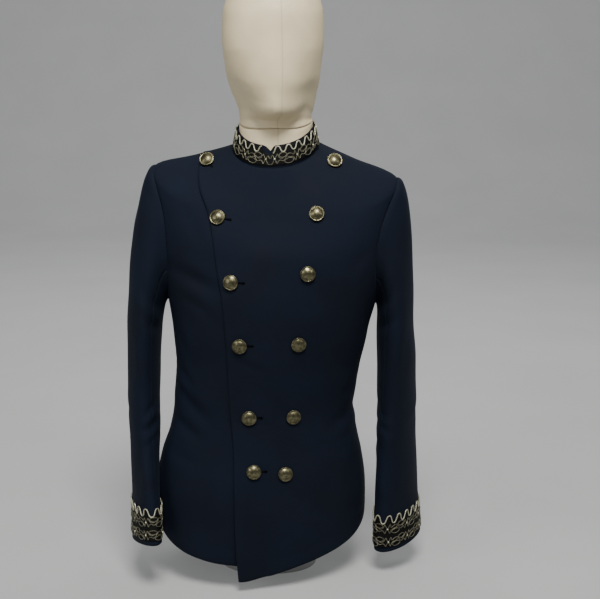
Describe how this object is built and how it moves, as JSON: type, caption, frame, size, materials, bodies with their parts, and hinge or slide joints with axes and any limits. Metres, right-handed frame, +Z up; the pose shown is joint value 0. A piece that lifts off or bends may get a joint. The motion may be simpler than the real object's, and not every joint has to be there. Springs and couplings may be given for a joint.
{
  "type": "service coat on a limbless display form",
  "caption": "Double-breasted service coat with a stand collar and braided cuffs, standing hollow on a limbless display form with a plain head.",
  "frame": {"origin": "on the flat underside of the form's foot, below the neck", "axes": "+Z up; the coat's front faces -Y; +X towards the wearer's left"},
  "size_m": [0.5344, 0.2811, 1.047],
  "materials": {
    "wool": "matt navy wool twill",
    "braid": "black band with metallic cord",
    "button": "antique",
    "form": "cream, satin"
  },
  "bodies": {
    "root": {"front_left": "wool", "front_right": "wool", "back_left": "wool", "back_right": "wool", "top_sleeve_left": "wool", "under_sleeve_left": "wool", "top_sleeve_right": "wool", "under_sleeve_right": "wool", "collar": "wool", "collar_braid": "braid", "cuff_braid_left": "braid", "cuff_braid_right": "braid", "button_left_1": "button", "button_left_2": "button", "button_left_3": "button", "button_left_4": "button", "button_left_5": "button", "button_left_6": "button", "button_right_1": "button", "button_right_2": "button", "button_right_3": "button", "button_right_4": "button", "button_right_5": "button", "button_right_6": "button", "form_body": "form", "form_head": "form"}
  },
  "joints": []
}
